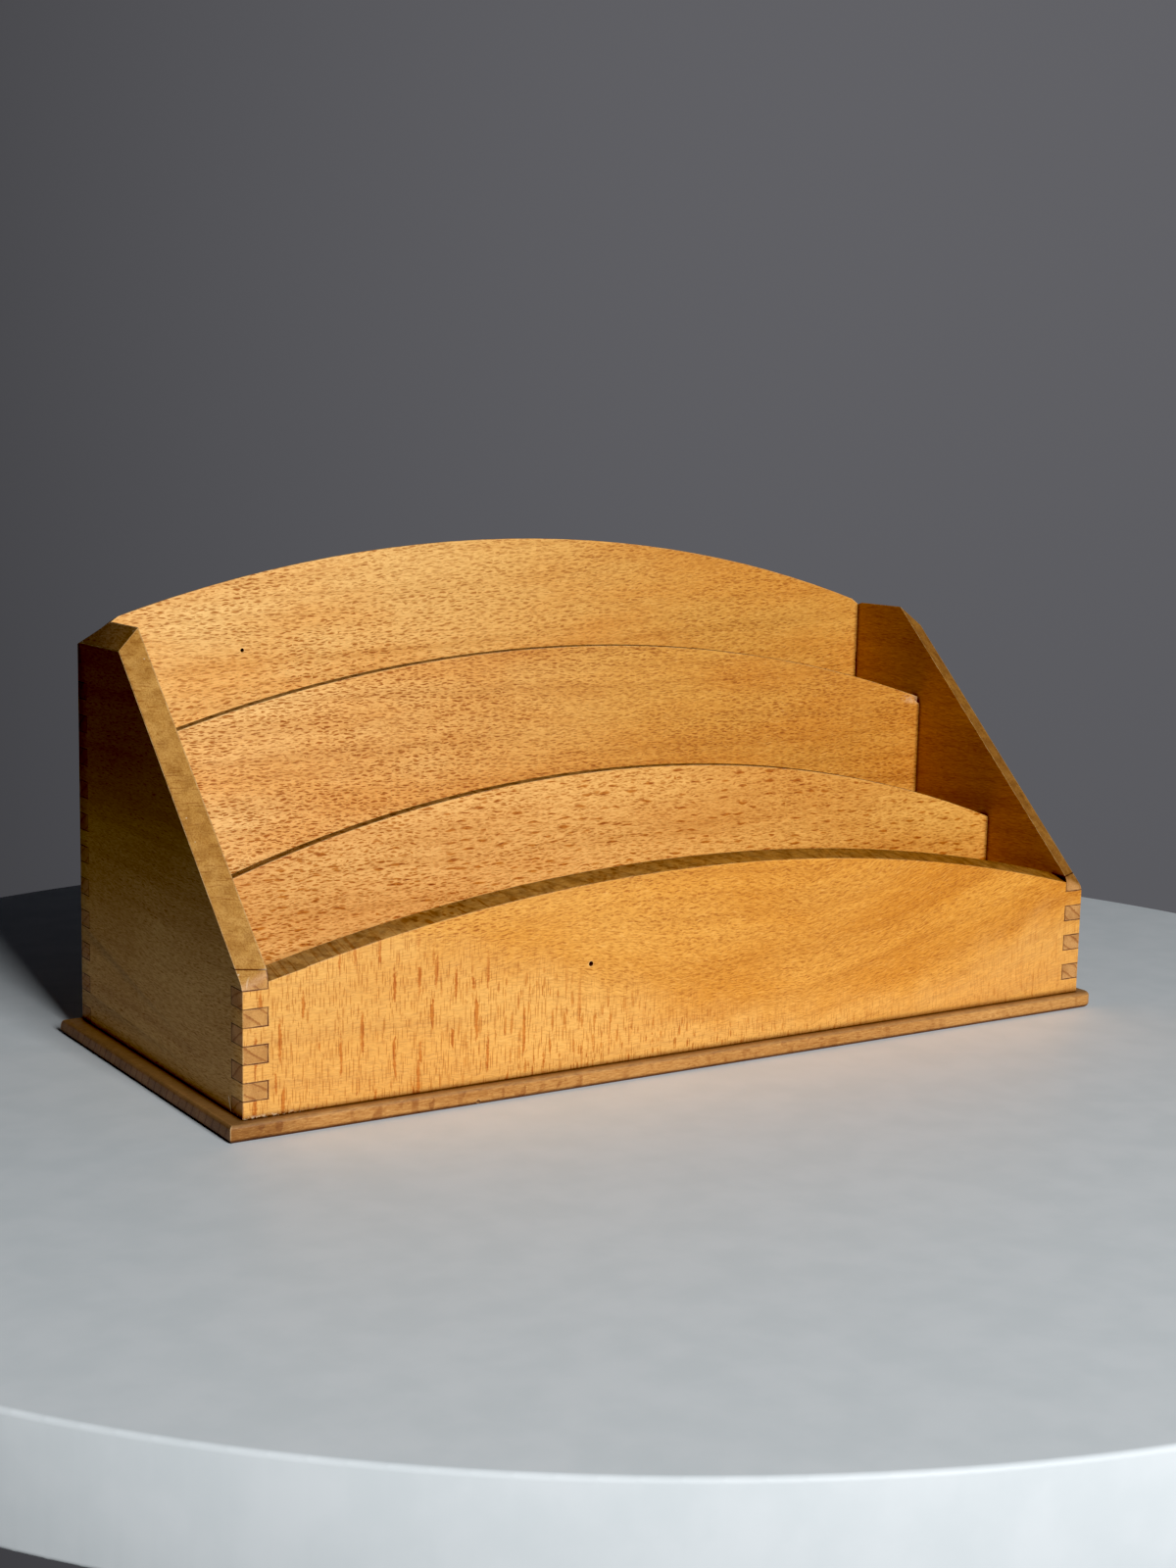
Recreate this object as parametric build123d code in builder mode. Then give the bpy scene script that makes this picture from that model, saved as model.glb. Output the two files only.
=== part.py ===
"""Letter rack with three pockets, in beech.

A long box without a lid. The front, the back and two sloping sides meet at the
corners in finger joints. Two thin arched dividers are let into the sides, and a
base board with rounded edges is screwed on from below.

X runs along the front, Y towards the back and Z up. The origin is the centre of
the underside of the base board. Sizes are in millimetres.
"""

import os

from build123d import *

os.makedirs("parts", exist_ok=True)

# ---------------------------------------------------------------- the box
box_width = 334.0
box_depth = 133.0
board = 8.0             # thickness of the four finger-jointed boards
finger = 5.5            # height of one finger, and of one gap
front_fingers = 4       # fingers at each end of the front board
back_fingers = 11       # fingers at each end of the back board

# The side boards: a flat top at the back and a slope down to the front.
# Heights are over the base board, at the inner face and at the outer face.
side_top = 135.8
side_top_outside = 128.6
slope_head = 98.8       # how far behind the front the slope ends
slope_foot = 43.3
slope_foot_outside = 39.2
foot_easing = 5.0       # rounding at the foot of the slope
# A slanting cut eases the back corner of the flat top.
corner_cut_inside = 10.5    # length of the cut on the inner face
corner_cut_outside = 2.5    # length of the cut on the outer face
corner_cut_drop = 3.1       # depth of the cut at the back, on the inner face

# ---------------------------------------------------------------- the arches
# Height of each crest over the base board, and radius of each arch.
front_crest = 61.7
front_radius = 627.0
front_shift = 2.5       # the front arch is cut a little to the right
back_crest = 162.4
back_radius = 500.0
bevel_drop = 2.2        # fall of the bevelled top edges towards the outside

# ---------------------------------------------------------------- the dividers
divider = 4.5           # thickness of both dividers
front_divider_face = 43.2
front_divider_crest = 88.4
front_divider_radius = 460.0
rear_divider_face = 85.2
rear_divider_crest = 126.2
rear_divider_radius = 520.0
housing = 2.5           # depth of the grooves in the sides
housing_stop = 7.0      # how far below the divider's corner a groove stops

# ---------------------------------------------------------------- the base
base_thickness = 5.5
side_overhang = 5.5
front_overhang = 3.5
rear_overhang = 6.5
left_corner = 1.6       # rounding of both left corners, seen from above
right_corner = 4.5      # the same for both right corners
base_top_round = 1.4
base_bottom_round = 1.6
rear_edge_round = 5.0   # large rounding of the upper back edge

# ---------------------------------------------------------------- the screws
screw_length = 16.0
screw_radius = 1.5
screw_head_radius = 3.0
screw_point = 3.0
screw_sink = 0.3        # how far the heads lie under the surface
screw_clearance = 0.2   # play of the shank in the base board
slot_width = 0.9
slot_depth = 0.8
slot_turn = 47          # degrees from one screw's slot to the next one's
screw_reach = 140.0     # outer screws of the front and the back, from the middle
head_angle = 90         # full angle of the countersunk heads, in degrees
from_below = (180, 0, 0)    # turn that makes a hole open downwards

# ---------------------------------------------------------------- worked out
base_width = box_width + 2 * side_overhang
base_depth = box_depth + front_overhang + rear_overhang
box_front = front_overhang - base_depth / 2
box_back = box_front + box_depth
half_width = box_width / 2
inner_half = half_width - board
inner_width = 2 * inner_half
box_middle = (box_front + box_back) / 2

front_board_middle = box_front + board / 2
back_board_middle = box_back - board / 2
side_middle = half_width - board / 2
front_screws = [(x, front_board_middle) for x in (-screw_reach, 0, screw_reach)]
back_screws = [(x, back_board_middle) for x in (-screw_reach, 0, screw_reach)]
side_screws = [(x, box_middle) for x in (-side_middle, side_middle)]
screw_points = front_screws + back_screws + side_screws


# ---------------------------------------------------------------- helpers
def upright(y):
    """The plane across the box at depth y. Its sketches read (X, height over the base)."""
    return Plane(origin=(0, y, base_thickness), x_dir=(1, 0, 0), z_dir=(0, -1, 0))


def lengthwise(x):
    """The plane from front to back at x. Its sketches read (Y, height over the base)."""
    return Plane(origin=(x, 0, base_thickness), x_dir=(0, 1, 0), z_dir=(1, 0, 0))


def blank(face, width, height, thickness):
    """A plain board that stands on the base, with its front at the given depth."""
    with BuildSketch(upright(face)) as outline:
        Rectangle(width, height, align=(Align.CENTER, Align.MIN))
    extrude(outline.sketch, amount=-thickness)


def cut_bevelled_arch(face, near_radius, far_radius, centre):
    """Keep what lies under a cone, which gives an arched top with a bevelled edge.

    The radii are those at the front and at the back of the board.
    """
    with Locations(upright(face)):
        with Locations(centre):
            Cone(far_radius, near_radius, board,
                 align=(Align.CENTER, Align.CENTER, Align.MAX), mode=Mode.INTERSECT)


def cut_end_gaps(face, fingers, top):
    """Cut the gaps between the fingers at both ends, and the shoulders above them."""
    shoulder = (2 * fingers - 1) * finger
    with BuildSketch(upright(face)) as gaps:
        with Locations((0, (fingers - 0.5) * finger)):
            with GridLocations(box_width - board, 2 * finger, 2, fingers - 1):
                Rectangle(board, finger)
        with Locations((-side_middle, shoulder), (side_middle, shoulder)):
            Rectangle(board, top - shoulder, align=(Align.CENTER, Align.MIN))
    extrude(gaps.sketch, amount=-board, mode=Mode.SUBTRACT)


def cut_finger_sockets(middle, fingers):
    """Cut the sockets in a side board that take the fingers of the front or the back."""
    with BuildSketch(lengthwise(inner_half)) as sockets:
        with Locations((middle, (fingers - 0.5) * finger)):
            with GridLocations(board, 2 * finger, 1, fingers):
                Rectangle(board, finger)
    extrude(sockets.sketch, amount=board, mode=Mode.SUBTRACT)


def drill_pilots(places):
    """Drill the holes in the lower edge of a board that take the screws."""
    with BuildSketch(Plane.XY.offset(base_thickness)) as pilots:
        with Locations(*places):
            Circle(screw_radius)
    depth = screw_sink + screw_length - base_thickness
    extrude(pilots.sketch, amount=depth, mode=Mode.SUBTRACT)


def arch_height(crest, radius, x):
    """Height of an arch over the base at x."""
    return crest - radius + (radius ** 2 - x ** 2) ** 0.5


def divider_groove(crest, radius):
    """Height at which the groove of a divider stops in the sides."""
    return arch_height(crest, radius, inner_half) - housing_stop


front_divider_y = box_front + front_divider_face
rear_divider_y = box_front + rear_divider_face
front_groove = divider_groove(front_divider_crest, front_divider_radius)
rear_groove = divider_groove(rear_divider_crest, rear_divider_radius)

# ---------------------------------------------------------------- front board
# The edge falls towards the front, so the arch is larger at the back face.
with BuildPart() as front_board:
    blank(box_front, box_width, front_crest + bevel_drop, board)
    cut_bevelled_arch(box_front, front_radius, front_radius + bevel_drop,
                      (front_shift, front_crest - front_radius))
    cut_end_gaps(box_front, front_fingers, front_crest)
    drill_pilots(front_screws)
front_board.part.label = "front_board"
export_step(front_board.part, "parts/front_board.step")

# ---------------------------------------------------------------- back board
# Here the edge falls towards the back, so the arch is larger at the front face.
back_board_face = box_back - board
with BuildPart() as back_board:
    blank(back_board_face, box_width, back_crest, board)
    cut_bevelled_arch(back_board_face, back_radius, back_radius - bevel_drop,
                      (0, back_crest - back_radius))
    cut_end_gaps(back_board_face, back_fingers, back_crest)
    drill_pilots(back_screws)
back_board.part.label = "back_board"
export_step(back_board.part, "parts/back_board.step")

# ---------------------------------------------------------------- side boards
# Both the slope and the flat top fall towards the outside of the box.
slope_line = Vector(0, slope_head, side_top - slope_foot)
slope_fall = Vector(board, 0, slope_foot_outside - slope_foot)
slope_bevel = Plane(origin=(inner_half, box_front, base_thickness + slope_foot),
                    x_dir=slope_fall, z_dir=slope_fall.cross(slope_line))
top_fall = Vector(board, 0, side_top_outside - side_top)
top_bevel = Plane(origin=(inner_half, box_back, base_thickness + side_top),
                  x_dir=top_fall, z_dir=top_fall.cross(Vector(0, 1, 0)))
cut_along = Vector(0, corner_cut_inside, -corner_cut_drop)
cut_across = Vector(board, corner_cut_inside - corner_cut_outside,
                    side_top_outside - side_top)
cut_start = (inner_half, box_back - corner_cut_inside, base_thickness + side_top)
corner_cut = Plane(origin=cut_start, x_dir=cut_across,
                   z_dir=cut_across.cross(cut_along))

with BuildPart() as right_side:
    with BuildSketch(lengthwise(inner_half)):
        with BuildLine():
            Polyline((box_front, 0), (box_back, 0), (box_back, side_top),
                     (box_front + slope_head, side_top), (box_front, slope_foot),
                     close=True)
        make_face()
    extrude(amount=board)
    split(bisect_by=slope_bevel, keep=Keep.BOTTOM)
    split(bisect_by=top_bevel, keep=Keep.BOTTOM)
    split(bisect_by=corner_cut, keep=Keep.BOTTOM)
    fillet(edges().group_by(Axis.Y)[0].sort_by(Axis.Z)[-1], foot_easing)
    cut_finger_sockets(front_board_middle, front_fingers)
    cut_finger_sockets(back_board_middle, back_fingers)
    with BuildSketch(lengthwise(inner_half)):
        with Locations((front_divider_y, 0)):
            Rectangle(divider, front_groove, align=Align.MIN)
        with Locations((rear_divider_y, 0)):
            Rectangle(divider, rear_groove, align=Align.MIN)
    extrude(amount=housing, mode=Mode.SUBTRACT)
    drill_pilots(side_screws)
right_side.part.label = "right_side"
export_step(right_side.part, "parts/right_side.step")

with BuildPart() as left_side:
    mirror(right_side.part, about=Plane.YZ)
left_side.part.label = "left_side"
export_step(left_side.part, "parts/left_side.step")


# ---------------------------------------------------------------- dividers
def arched_divider(face, crest, radius, groove):
    """A thin board with an arched top, and a tongue at each end for the grooves."""
    with BuildSketch(upright(face)) as outline:
        Rectangle(inner_width, crest, align=(Align.CENTER, Align.MIN))
        with Locations((0, crest - radius)):
            Circle(radius, mode=Mode.INTERSECT)
        Rectangle(inner_width + 2 * housing, groove, align=(Align.CENTER, Align.MIN))
    extrude(outline.sketch, amount=-divider)


with BuildPart() as front_divider:
    arched_divider(front_divider_y, front_divider_crest, front_divider_radius,
                   front_groove)
front_divider.part.label = "front_divider"
export_step(front_divider.part, "parts/front_divider.step")

with BuildPart() as rear_divider:
    arched_divider(rear_divider_y, rear_divider_crest, rear_divider_radius,
                   rear_groove)
rear_divider.part.label = "rear_divider"
export_step(rear_divider.part, "parts/rear_divider.step")

# ---------------------------------------------------------------- base board
with BuildPart() as base_board:
    with BuildSketch() as base_outline:
        Rectangle(base_width, base_depth)
        corners = base_outline.vertices().group_by(Axis.X)
        fillet(corners[-1], right_corner)
        fillet(corners[0], left_corner)
    extrude(amount=base_thickness)
    fillet(edges().group_by(Axis.Z)[-1], base_top_round)
    fillet(edges().group_by(Axis.Z)[0], base_bottom_round)
    rear_middle = (base_depth / 2 - rear_edge_round, base_thickness - rear_edge_round)
    with BuildSketch(Plane.YZ.offset(-base_width / 2)):
        with Locations(rear_middle):
            Rectangle(2 * rear_edge_round, 2 * rear_edge_round, align=(Align.MIN, Align.MIN))
            Circle(rear_edge_round, mode=Mode.SUBTRACT)
    extrude(amount=base_width, mode=Mode.SUBTRACT)
    with Locations(*[Location((x, y, 0), from_below) for x, y in screw_points]):
        CounterSinkHole(screw_radius + screw_clearance, screw_head_radius + screw_sink,
                        depth=base_thickness, counter_sink_angle=head_angle)
base_board.part.label = "base_board"
export_step(base_board.part, "parts/base_board.step")

# ---------------------------------------------------------------- screws
with BuildPart() as screw:
    with BuildSketch(Plane.XZ):
        with BuildLine():
            Polyline((0, screw_sink), (screw_head_radius, screw_sink),
                     (screw_radius, screw_sink + screw_head_radius - screw_radius),
                     (screw_radius, screw_sink + screw_length - screw_point),
                     (0, screw_sink + screw_length), close=True)
        make_face()
    revolve(axis=Axis.Z)
    with BuildSketch(Plane.XY.offset(screw_sink)):
        Rectangle(2 * screw_head_radius, slot_width)
    extrude(amount=slot_depth, mode=Mode.SUBTRACT)

with BuildPart() as base_screws:
    for index, (x, y) in enumerate(screw_points):
        with Locations(Location((x, y, 0), (0, 0, index * slot_turn))):
            add(screw.part)
base_screws.part.label = "base_screws"
export_step(base_screws.part, "parts/base_screws.step")
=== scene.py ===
# %% [markdown]
# # A letter rack in beech
#
# This notebook dresses a small wooden letter rack: a long open box with a low arched front,
# a tall arched back, two sloping sides, two thin arched dividers and a base board.
# The exact shapes come from a CAD model. Here each board gets the things that CAD leaves
# out: softened edges, the marks of long use, and beech with its flecks, rays and end grain.
#
# The first cell loads the CAD model. It is the frame that everything else is fitted to, so
# its box is noted before anything is added.

import math

import bmesh
import bpy
from mathutils import Matrix, Vector


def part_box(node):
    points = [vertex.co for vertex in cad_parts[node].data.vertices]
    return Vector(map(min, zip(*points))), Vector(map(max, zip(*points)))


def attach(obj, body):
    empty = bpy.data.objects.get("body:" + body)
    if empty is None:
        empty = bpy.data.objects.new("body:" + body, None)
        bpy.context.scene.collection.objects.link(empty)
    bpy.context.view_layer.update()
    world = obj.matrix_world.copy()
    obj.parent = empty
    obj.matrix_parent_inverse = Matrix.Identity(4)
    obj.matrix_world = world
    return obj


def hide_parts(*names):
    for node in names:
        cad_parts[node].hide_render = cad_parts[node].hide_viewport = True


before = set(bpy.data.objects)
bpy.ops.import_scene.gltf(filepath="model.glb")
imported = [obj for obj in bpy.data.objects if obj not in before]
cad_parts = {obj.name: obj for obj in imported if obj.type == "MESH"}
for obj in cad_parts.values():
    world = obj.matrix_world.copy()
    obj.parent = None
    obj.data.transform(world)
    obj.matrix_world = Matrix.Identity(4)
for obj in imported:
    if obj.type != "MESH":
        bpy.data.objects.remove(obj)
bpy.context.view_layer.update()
print("nodes:", ", ".join(sorted(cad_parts)))

# %% [markdown]
# Blender works in metres and a woodworker in millimetres. One constant turns the one into
# the other. The few sizes that several cells need are read from the frame itself, so that
# nothing drifts away from the CAD model. Only the fingers of the corner joints are counted
# and given by their height, because no board's box shows them.

# %% Sizes read from the frame
MM = 0.001
front_low, front_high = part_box("front_board")
base_low, base_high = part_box("base_board")
back_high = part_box("back_board")[1]
rear_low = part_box("rear_divider")[0]

box_half = front_high.x             # outer faces of the sides
board = front_high.y - front_low.y  # thickness of the jointed boards
inner_half = box_half - board
box_front = front_low.y
box_back = back_high.y
base_top = base_high.z
finger = 5.5 * MM                   # height of one finger, and of one gap
front_steps = 8                     # fingers and gaps in a front joint
back_steps = 21
front_joint_top = base_top + front_steps * finger
back_joint_top = base_top + back_steps * finger
print("box", 2 * box_half, "wide,", box_back - box_front, "deep, boards", board)

# %% [markdown]
# The camera stands to the left of the middle and a little above the rack, with a long lens.
# Its turn is built from three plain rotations: turn to the right, tilt down, and a small
# roll. That reads better than a matrix of nine numbers and is easy to adjust.

# %% The camera
camera_place = Vector((-0.4255, -0.6516, 0.2009))
turn_right = math.radians(32.757)
tilt_down = math.radians(8.506)
roll = math.radians(1.154)
film_width = 36         # millimetres, as is the focal length
focal_length = 51.52

lens_data = bpy.data.cameras.new("camera")
lens_data.sensor_width = film_width
lens_data.lens = focal_length
camera = bpy.data.objects.new("camera", lens_data)
bpy.context.scene.collection.objects.link(camera)
camera.matrix_world = (
    Matrix.Translation(camera_place)
    @ Matrix.Rotation(-turn_right, 4, "Z")
    @ Matrix.Rotation(math.pi / 2 - tilt_down, 4, "X")
    @ Matrix.Rotation(roll, 4, "Z")
)
bpy.context.scene.camera = camera
print("camera", round(camera_place.length, 3), "m from the rack")

# %% [markdown]
# Colours are shown as they are, with the deepest shade pulled down to black. That keeps the
# shaded sides of orange wood a deep brown, where haze would make them grey.

# %% How colours are shown
view = bpy.context.scene.view_settings
view.view_transform = "Standard"
view.use_curve_mapping = True
deepest_shade = 0.012   # linear light that is shown as black
view.curve_mapping.black_level = [deepest_shade] * 3
view.curve_mapping.update()

# %% [markdown]
# A shader wants linear colours, but a colour is judged as it looks on a screen. This helper
# turns the second into the first.

# %% Colours as they look
def linear(red, green, blue):
    """A colour as it is seen on screen, 0 to 255, as the linear colour that a shader wants."""
    steps = [channel / 255 for channel in (red, green, blue)]
    return [s / 12.92 if s < 0.04045 else ((s + 0.055) / 1.055) ** 2.4 for s in steps] + [1.0]


print("middle grey:", [round(channel, 3) for channel in linear(128, 128, 128)])

# %% [markdown]
# A material is a small machine of nodes. This class keeps the wiring short: `add` makes a
# node and feeds its sockets. A fed value may be a number, a colour or another node's output.
# Every material starts from the place on the object in millimetres and from its normal.

# %% A helper that wires up a material
class Wiring:
    """A material whose nodes are added step by step."""

    def __init__(self, name):
        self.material = bpy.data.materials.new(name)
        self.material.use_nodes = True
        self.tree = self.material.node_tree
        self.shader = self.tree.nodes["Principled BSDF"]
        place = self.add("TexCoord", {}).outputs["Object"]
        self.here = self.vector("SCALE", place, scale=1 / MM)
        self.x, self.y, self.z = self.split(self.here)
        self.normal = self.add("NewGeometry", {}).outputs["Normal"]

    def feed(self, socket, value):
        if isinstance(value, bpy.types.NodeSocket):
            self.tree.links.new(value, socket)
        else:
            socket.default_value = value

    def add(self, kind, inputs, **settings):
        node = self.tree.nodes.new("ShaderNode" + kind)
        for key, value in settings.items():
            setattr(node, key, value)
        for key, value in inputs.items():
            self.feed(node.inputs[key], value)
        return node

    def math(self, operation, *values):
        return self.add("Math", dict(enumerate(values)), operation=operation).outputs[0]

    def vector(self, operation, *values, scale=1.0):
        inputs = dict(enumerate(values)) | {3: scale}
        return self.add("VectorMath", inputs, operation=operation).outputs[0]

    def split(self, vector):
        return list(self.add("SeparateXYZ", {0: vector}).outputs)

    def combine(self, *values):
        return self.add("CombineXYZ", dict(enumerate(values))).outputs[0]


print("wiring ready")

# %% [markdown]
# On top of the wiring come the handful of steps that wood needs again and again: a soft
# step, a band near a value, two ways to blend colours, a cloudy noise and scattered specks.

# %% A helper for patterns
class Finish(Wiring):
    """Adds soft steps, blends and noises to the wiring."""

    def times(self, *values):
        """The product of several shares."""
        product = values[0]
        for value in values[1:]:
            product = self.math("MULTIPLY", product, value)
        return product

    def rise(self, value, low, high, start=0.0, end=1.0):
        """Goes smoothly from start to end while the value goes from low to high."""
        inputs = {0: value, 1: low, 2: high, 3: start, 4: end}
        return self.add("MapRange", inputs, interpolation_type="SMOOTHSTEP").outputs[0]

    def near(self, value, target, reach):
        """1 where the value is at the target, 0 where it is further away than the reach."""
        away = self.math("ABSOLUTE", self.math("SUBTRACT", value, target))
        return self.rise(away, reach, reach * 0.5)

    def mix(self, share, first, second, blend="MIX"):
        inputs = {0: share, 6: first, 7: second}
        return self.add("Mix", inputs, data_type="RGBA", blend_type=blend).outputs[2]

    def stain(self, colour, share, tint):
        """Darkens a colour with a tint, by a share that varies over the surface."""
        return self.mix(share, colour, tint, "MULTIPLY")

    def noise(self, place, detail=2.0, roughness=0.5):
        inputs = {"Vector": place, "Scale": 1.0, "Detail": detail, "Roughness": roughness}
        return self.add("TexNoise", inputs).outputs[0]

    def clouds(self, size, detail=3.0):
        """A cloudy pattern with lumps of about this size in mm."""
        return self.noise(self.vector("SCALE", self.here, scale=1 / size), detail=detail)

    def specks(self, spacing, size, chance):
        """Round specks in loose order: 1 inside a speck. Spacing and size are in mm."""
        cells = self.vector("SCALE", self.here, scale=1 / spacing)
        node = self.add("TexVoronoi", {"Vector": cells, "Scale": 1.0})
        pick = self.split(node.outputs["Color"])[0]
        radius = size / spacing / 2
        inside = self.rise(node.outputs["Distance"], radius, radius * 0.6)
        return self.times(inside, self.rise(pick, 1.0 - chance, 1.02 - chance))


print("pattern helper ready")

# %% [markdown]
# Beech is known by its rays. On a flat-sawn face they are short dark dashes, all along the
# grain. On a quarter-sawn face the same rays lie flat in the surface and show as upright
# ribbons across the grain. On end grain there are growth rings and tiny pores.
#
# A photograph of wood could be wrapped on the boards, but it would not fit the edges or the
# finger joints. A solid pattern does: it is worked out from the place inside the board, in
# millimetres along, across and through the grain, so it runs round every corner.

# %% Wood, step 1: where we are in the board
def stretched(finish, place, *scales):
    """The place with each direction scaled, which stretches a pattern along the grain."""
    return finish.combine(*(finish.math("MULTIPLY", p, s) for p, s in zip(place, scales)))


def grain_place(finish, wood):
    """Place in mm as (along, across, through) the grain, with a slow wander of the grain."""
    moved = finish.vector("ADD", finish.here, wood["shift"])
    parts = finish.split(moved)
    along, across, through = (parts["XYZ".index(axis)] for axis in wood["axes"])
    slow = stretched(finish, (along, across, through), 0.008, 0.02, 0.02)
    wander = finish.math("SUBTRACT", finish.noise(slow, detail=1.0), 0.5)
    bent = finish.math("MULTIPLY_ADD", wander, wood["flow"], across)
    if "climb" in wood:
        start, slope = wood["climb"]
        beyond = finish.math("MAXIMUM", finish.math("SUBTRACT", finish.x, start), 0.0)
        bent = finish.math("MULTIPLY_ADD", beyond, -slope, bent)
    if "tilt" in wood:
        bent = finish.math("MULTIPLY_ADD", along, -wood["tilt"], bent)
    quick = stretched(finish, (along, bent, through), 0.35, 0.5, 0.1)
    ripple = finish.math("SUBTRACT", finish.noise(quick, detail=0.0), 0.5)
    return along, finish.math("MULTIPLY_ADD", ripple, 0.9, bent), through


# %% [markdown]
# One function makes every kind of ray. Space is divided into cells, each cell has a middle,
# and round that middle lies a narrow spindle. What differs is only the size of the spindle,
# the pitch of the cells and how many of them are filled.

# %% Wood, step 2: rays
def rays(finish, place, size, pitch, chance, ragged=0.0):
    """Rays cut by the surface: 1 inside a ray, 0 beside it.

    Size and pitch are in mm along and across the grain, chance is the share of full cells.
    """
    cells = stretched(finish, place, 1 / pitch[0], 1 / pitch[1], 0.08)
    node = finish.add("TexVoronoi", {"Vector": cells, "Scale": 1.0})
    off_middle = finish.vector("SUBTRACT", cells, node.outputs["Position"])
    scales = (2 * pitch[0] / size[0], 2 * pitch[1] / size[1], 0.0)
    spindle = stretched(finish, finish.split(off_middle), *scales)
    away = finish.add("VectorMath", {0: spindle}, operation="LENGTH").outputs["Value"]
    away = finish.math("ADD", away, ragged)
    pick, vary, _ = finish.add("SeparateColor", {0: node.outputs["Color"]}).outputs
    away = finish.math("DIVIDE", away, finish.math("MULTIPLY_ADD", vary, 0.7, 0.6))
    return finish.times(finish.rise(away, 1.1, 0.5), finish.rise(pick, 1.0 - chance, 1.02 - chance))


# %% [markdown]
# A flat-sawn face has a main set of dashes and a fainter one between them. They are
# strongest towards the left end of the rack. A second set of rays is read a few
# centimetres aside, so that it doesn't repeat the first one. Any distance would do.

# %% Wood, step 3: flat-sawn and quarter-sawn faces
dash_aside = 37.3       # mm
ribbon_aside = 61.7     # mm


def dashes(finish, place, wood):
    """The dark dashes of a flat-sawn face, as a share."""
    length, width = wood["dash"]
    pitch = wood["pitch"]
    main = rays(finish, place, (length, width), pitch, 0.85)
    aside = [finish.math("ADD", p, dash_aside) for p in place]
    small = rays(finish, aside, (length * 0.7, width * 0.8), (pitch[0] * 0.7, pitch[1] * 0.7), 0.7)
    share = finish.math("MAXIMUM", main, finish.math("MULTIPLY", small, 0.65))
    uneven = finish.noise(stretched(finish, place, 0.03, 0.07, 0.05), detail=2.0)
    share = finish.times(share, finish.rise(uneven, 0.3, 0.65, 0.6, 1.0), wood["strength"])
    return finish.times(share, finish.rise(finish.x, -150.0, 60.0, 1.2, 0.75))


def ribbons(finish, place, colour, quartered):
    """Upright rays of a quarter-sawn face: a few broad ones, many short ones and hairlines."""
    torn = finish.noise(stretched(finish, place, 1.3, 0.9, 0.5), detail=2.0)
    torn = finish.math("MULTIPLY", finish.math("SUBTRACT", torn, 0.5), 1.6)
    aside = [finish.math("ADD", p, ribbon_aside) for p in place]
    broad = rays(finish, place, (1.4, 14.0), (6.5, 17.0), 0.5, torn)
    short = rays(finish, aside, (0.9, 4.5), (2.8, 6.0), 0.6, torn)
    hair = rays(finish, aside, (0.45, 5.0), (1.1, 5.5), 0.85)
    colour = finish.mix(finish.math("MULTIPLY", quartered, 0.25), colour, linear(250, 204, 128))
    calm = finish.rise(finish.x, 50.0, 90.0, 1.0, 0.45)
    colour = finish.stain(colour, finish.times(hair, quartered, calm, 0.8), linear(214, 184, 142))
    dense = finish.times(finish.rise(finish.x, -120.0, -60.0, 0.25, 0.8), calm)
    colour = finish.stain(colour, finish.times(short, quartered, dense), linear(218, 180, 126))
    few = finish.rise(finish.x, -20.0, -80.0, 0.2, 0.9)
    return finish.stain(colour, finish.times(broad, quartered, few), linear(218, 174, 116))


# %% [markdown]
# End grain shows wherever a face looks along the grain, and partly on a sloping cut. The
# normal tells how much. It gets slanting growth rings, fine dark lines one after another,
# and pores that are only dots.

# %% Wood, step 4: end grain
ring_slant = 35.0       # degrees
ring_spacing = 4.0      # mm


def end_share(finish, wood):
    """How far the surface looks along the grain: a little on a slope, fully on an end."""
    facing = finish.split(finish.normal)["XYZ".index(wood["axes"][0])]
    facing = finish.math("ABSOLUTE", facing)
    return finish.rise(facing, 0.55, 0.97), finish.rise(facing, 0.9, 0.98)


def ring_lines(finish, first, second, slant, spacing):
    """Thin dark ring lines that slant by an angle in degrees, a spacing in mm apart."""
    lean = math.radians(slant)
    run = finish.math("MULTIPLY", second, math.sin(lean) / spacing)
    depth = finish.math("MULTIPLY_ADD", first, math.cos(lean) / spacing, run)
    uneven = finish.noise(finish.combine(first, second, 0.0), detail=1.0)
    ring = finish.math("FRACT", finish.math("MULTIPLY_ADD", uneven, 0.2, depth))
    return finish.times(finish.rise(ring, 0.72, 0.93), finish.rise(ring, 1.0, 0.96))


def end_grain(finish, place, wood, fibres):
    """The colour where the boards show their ends."""
    patches = finish.clouds(7.0)
    colour = finish.mix(finish.rise(patches, 0.38, 0.62), wood["end"], wood["end_deep"])
    colour = finish.stain(colour, finish.rise(fibres, 0.4, 0.7), linear(232, 220, 206))
    rings = ring_lines(finish, place[1], place[2], ring_slant, ring_spacing)
    rings = finish.times(rings, end_share(finish, wood)[1], 0.7)
    colour = finish.stain(colour, rings, linear(190, 152, 116))
    pores = finish.specks(0.9, 0.45, 0.5)
    return finish.stain(colour, finish.math("MULTIPLY", pores, 0.35), linear(190, 152, 116))


# %% [markdown]
# Use leaves its own marks. Tops and slopes are touched and gather dust, so they turn grey
# and olive. On the flat top of the left side and the cut behind it, grime and painted shade
# darken the faces that turn away from the lamp. Corners get painted shade and some dirt.
# Outer edges are rubbed bare and become pale. The bevel and occlusion nodes find edges and
# corners from the shape itself, from every side alike.

# %% Wood, step 5: where the wood is touched, and painted shade
def handled_share(finish):
    """How far the surface looks up: tops and slopes are touched and gather dust."""
    up = finish.split(finish.normal)[2]
    return finish.rise(up, 0.2, 0.75)


def corner_share(finish, reach):
    """1 deep in a corner, 0 in the open, within a reach in mm."""
    node = finish.add("AmbientOcclusion", {"Distance": reach * MM}, samples=6)
    return finish.rise(node.outputs["AO"], 0.92, 0.5)


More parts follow.
